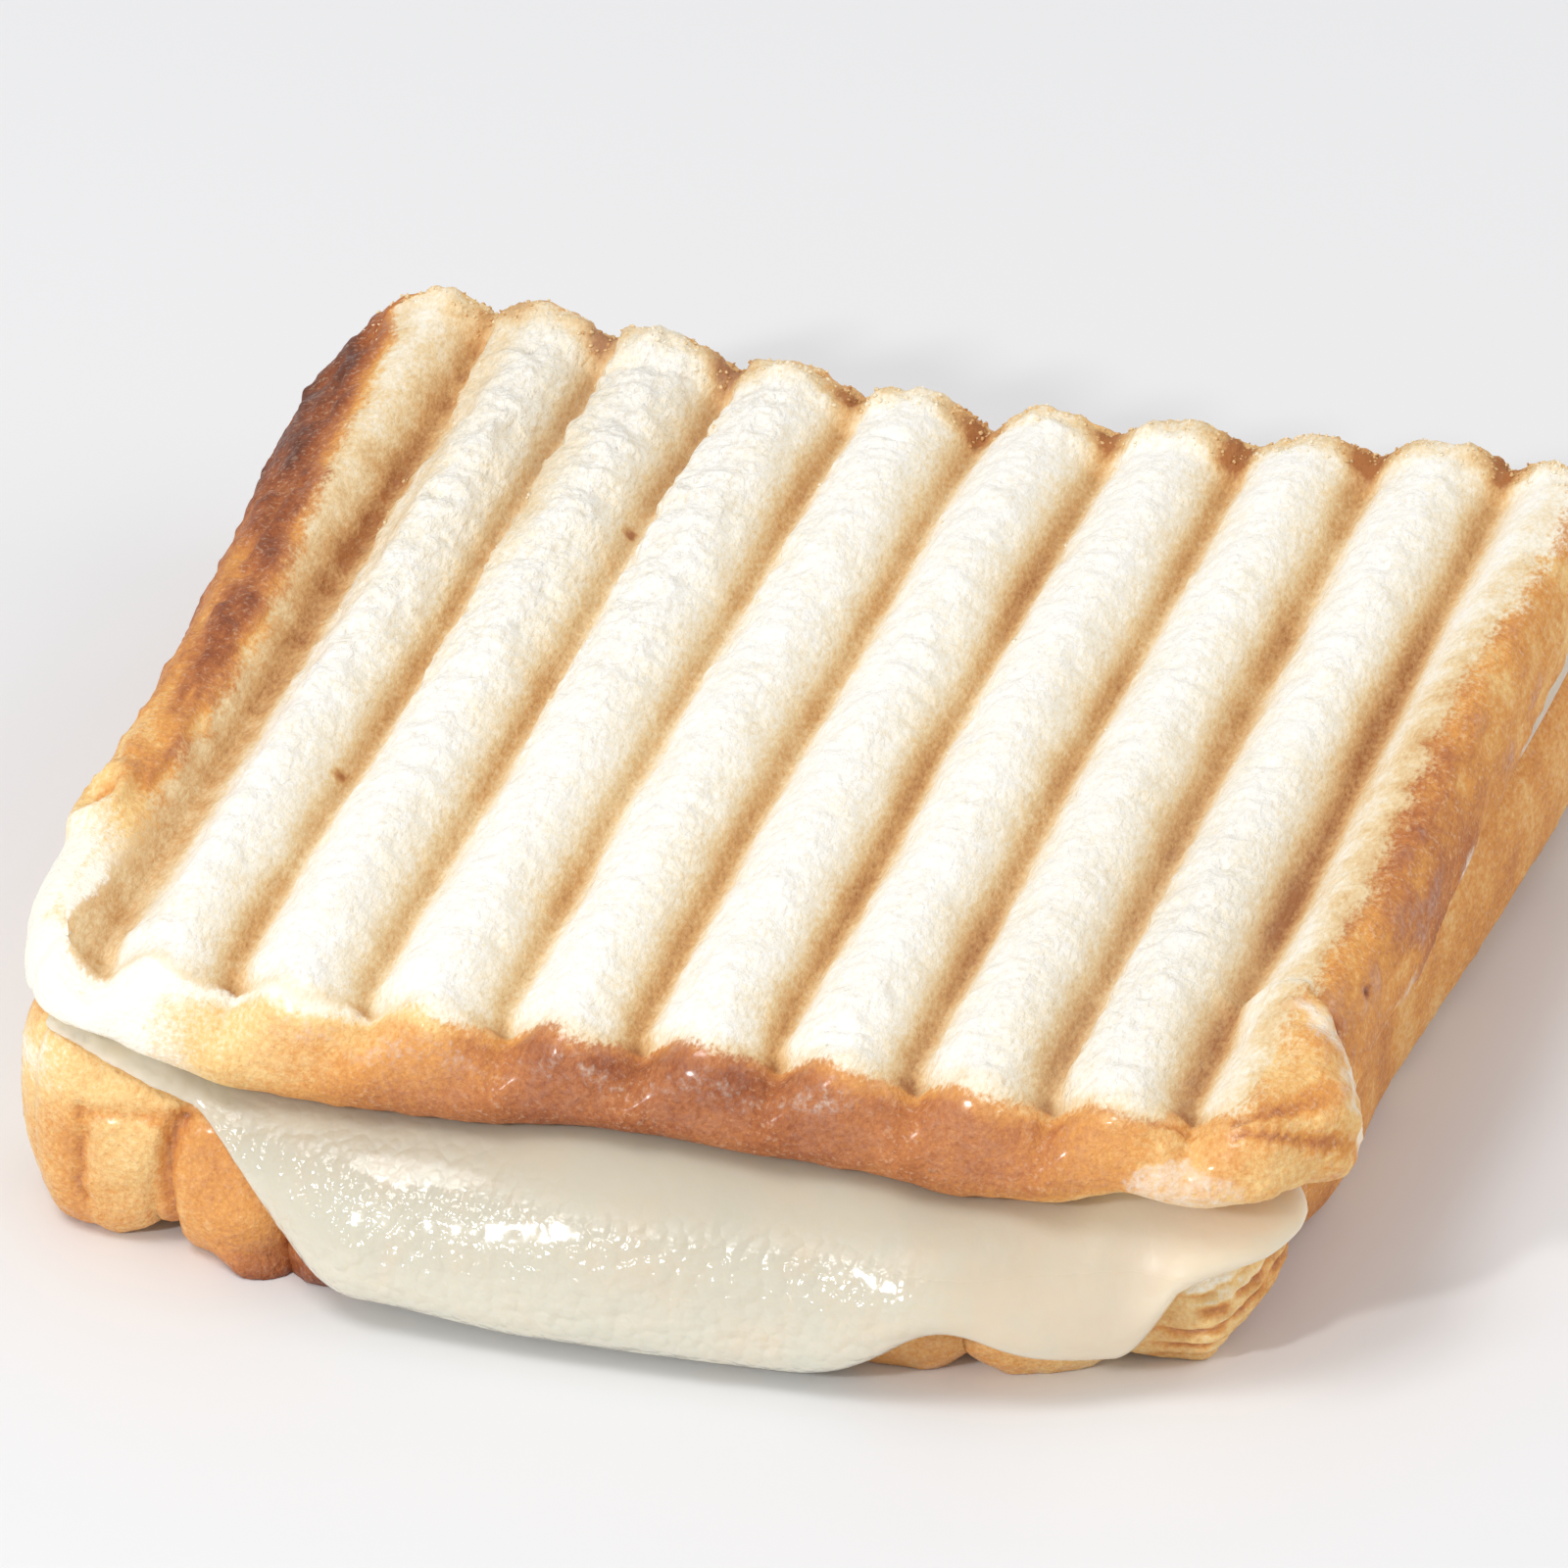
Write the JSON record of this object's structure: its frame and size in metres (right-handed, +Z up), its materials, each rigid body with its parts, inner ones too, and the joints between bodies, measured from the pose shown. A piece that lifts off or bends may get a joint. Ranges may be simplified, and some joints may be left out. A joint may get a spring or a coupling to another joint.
{
  "type": "toasted sandwich",
  "caption": "Square toasted sandwich of ribbed, pressed white bread, with melted cheese that has run out and down over the front of the lower slice.",
  "frame": {"origin": "on the plane that the sandwich rests on, under the middle rib of the lower slice, near the centre of the slices", "axes": "+Z up, through the slices; the ribs run along Y; -Y is the front, where the cheese hangs out; +X is the right side seen from the front"},
  "size_m": [0.1217, 0.1299, 0.0292],
  "materials": {
    "toasted_bread": "matte crumb with a satin, browned crust",
    "melted_cheese": "glossy and slightly translucent"
  },
  "bodies": {
    "root": {"top_slice": "toasted_bread", "melted_cheese": "melted_cheese", "bottom_slice": "toasted_bread"}
  },
  "joints": []
}
